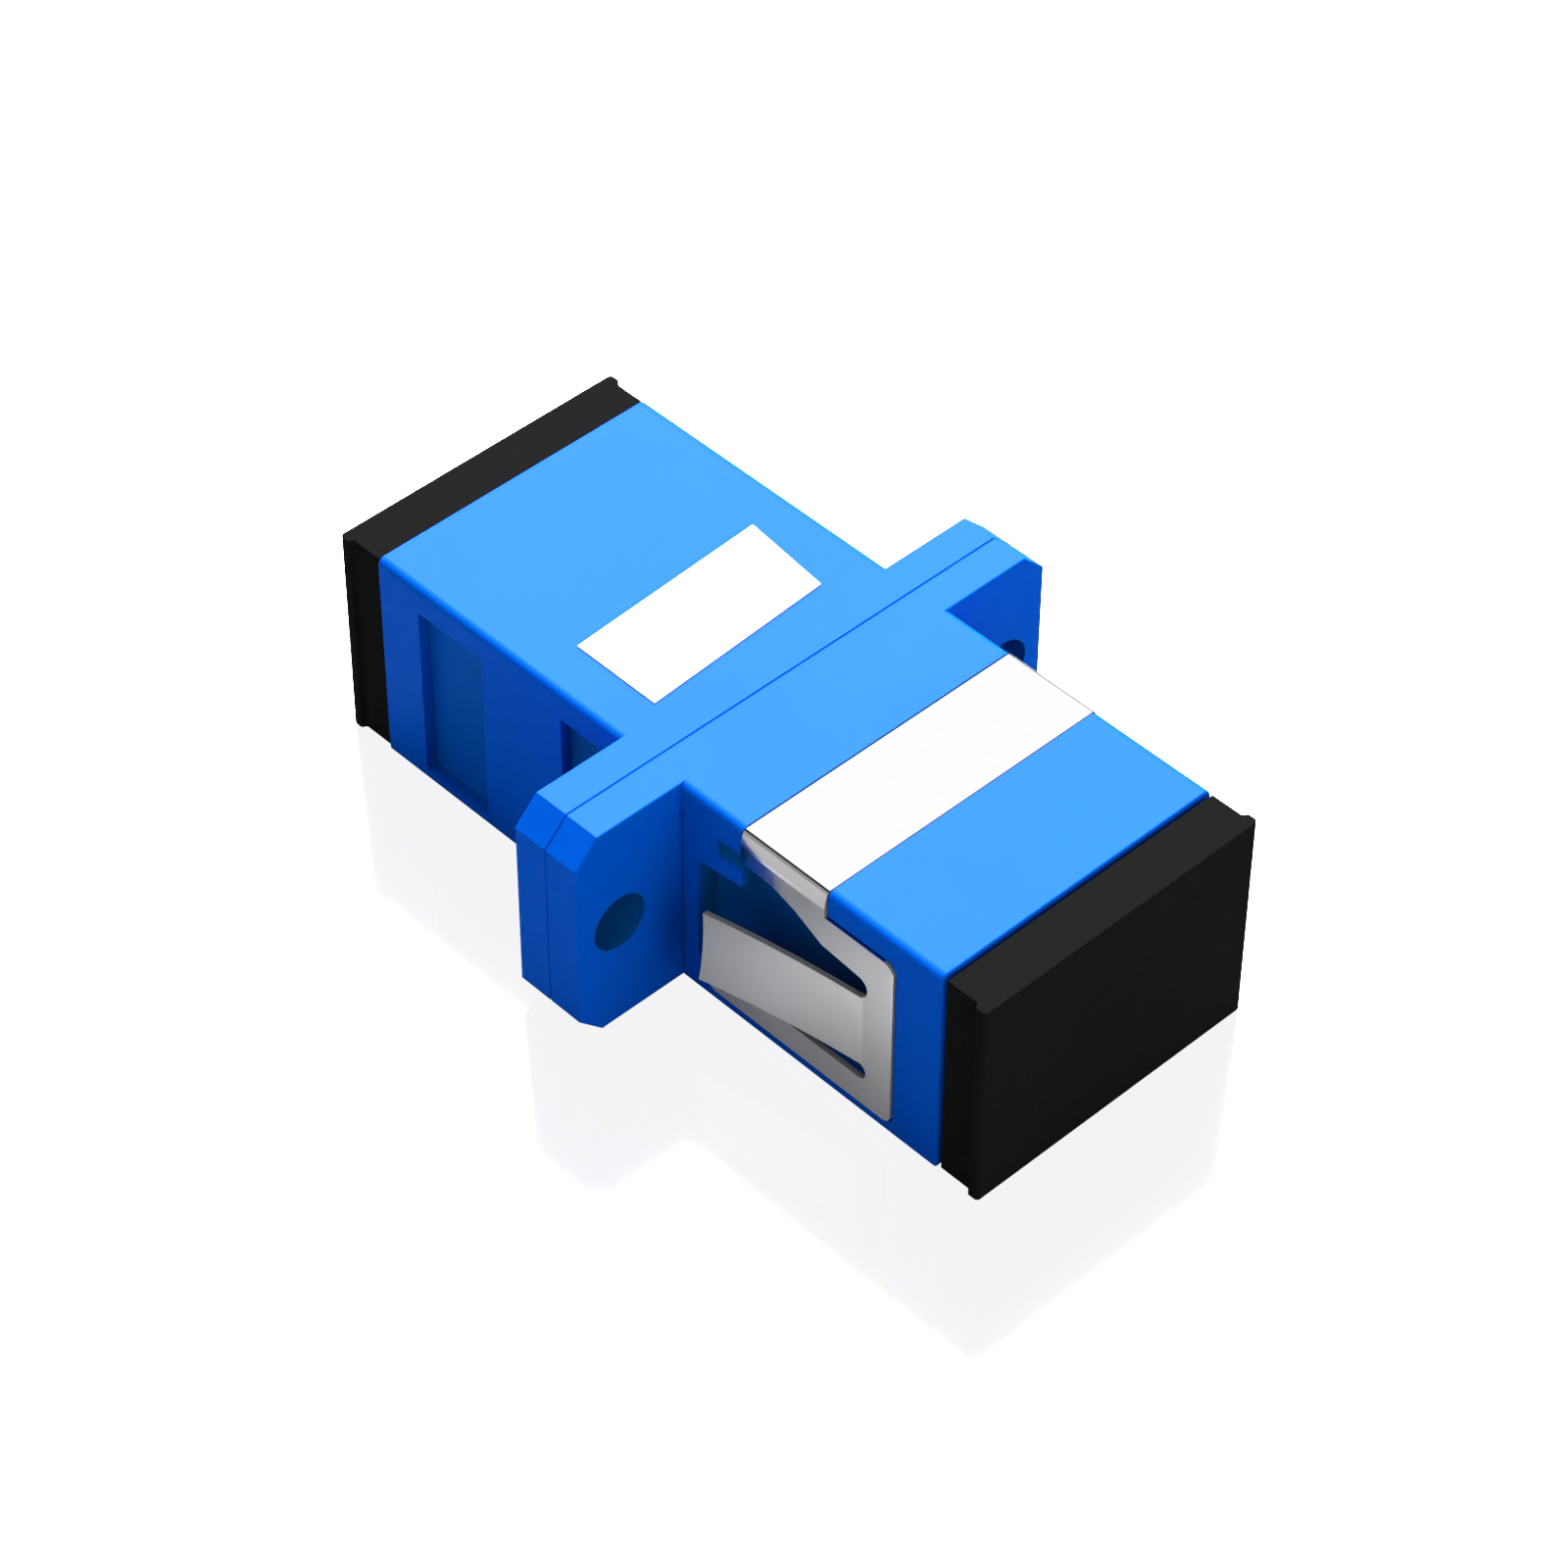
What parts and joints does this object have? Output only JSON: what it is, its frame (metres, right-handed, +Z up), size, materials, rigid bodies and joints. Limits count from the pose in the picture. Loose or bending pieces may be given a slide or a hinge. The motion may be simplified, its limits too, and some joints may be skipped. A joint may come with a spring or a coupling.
{
  "type": "fibre optic attenuator",
  "caption": "Flanged in-line coupling for push-pull fibre plugs that lowers the signal: moulded housing, steel panel clip, blank label and a dust cap in each port.",
  "frame": {"origin": "On the optical axis, in the seam between the two housing halves, midway between the two flange holes", "axes": "+X along the optical axis towards the end that passes through a panel, +Y along the flange, +Z up out of the strap of the spring clip"},
  "size_m": [0.0321, 0.0224, 0.0093],
  "materials": {
    "housing": "satin",
    "clip_steel": "bright, as rolled",
    "insert": "satin",
    "sleeve_ceramic": "polished",
    "spacer": "satin",
    "label": "matt",
    "cap": "fine matt"
  },
  "bodies": {
    "housing": {"front_housing": "housing", "rear_housing": "housing", "spring_clip": "clip_steel", "front_latch_insert": "insert", "rear_latch_insert": "insert", "split_sleeve": "sleeve_ceramic", "attenuating_spacer": "spacer", "rating_label": "label"},
    "front_cap": {"front_dust_cap": "cap"},
    "rear_cap": {"rear_dust_cap": "cap"}
  },
  "joints": [
    {"name": "front_cap_slide", "type": "slide", "parent": "housing", "child": "front_cap", "axis": [1, 0, 0], "range_m": [0, 0.012]},
    {"name": "rear_cap_slide", "type": "slide", "parent": "housing", "child": "rear_cap", "axis": [-1, 0, 0], "range_m": [0, 0.012]}
  ]
}
